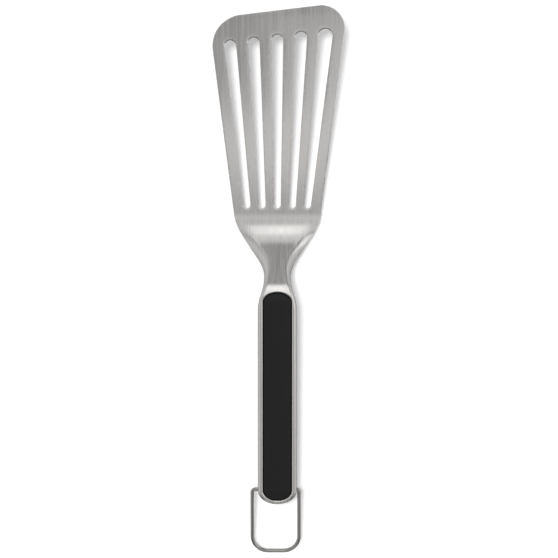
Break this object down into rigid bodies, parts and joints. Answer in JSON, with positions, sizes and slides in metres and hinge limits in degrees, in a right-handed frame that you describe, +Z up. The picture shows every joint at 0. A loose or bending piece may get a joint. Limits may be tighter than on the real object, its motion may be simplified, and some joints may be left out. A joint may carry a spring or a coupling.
{
  "type": "grill spatula",
  "caption": "Slotted steel grill turner with a slanted front edge, a hollow steel handle with soft grip panels and a swinging wire loop to hang it by.",
  "frame": {"origin": "on the table under the middle of the whole tool's box, as it lies on the heel of its blade and the butt end of its rear grip", "axes": "+Y from the handle towards the blade's tip, +X to the long side of the slanted front edge, +Z up, out of the front of the handle"},
  "size_m": [0.1014, 0.4223, 0.0244],
  "materials": {
    "steel": "fine brushed grain along the tool",
    "wire": "drawn wire, polished",
    "grip": "soft matt elastomer",
    "nylon": "moulded nylon",
    "fastener": "zinc plated"
  },
  "bodies": {
    "tool": {"head_pressing": "steel", "rear_shell": "steel", "front_carrier": "nylon", "rear_carrier": "nylon", "front_grip": "grip", "rear_grip": "grip", "screw_butt": "fastener", "screw_middle": "fastener", "screw_neck": "fastener"},
    "loop": {"hanging_loop": "wire"}
  },
  "joints": [
    {"name": "loop_swing", "type": "hinge", "parent": "tool", "child": "loop", "pos_m": [-0.00089, -0.16135, 0.009], "axis": [1, 0, 0], "range_deg": [-173, 160]}
  ]
}
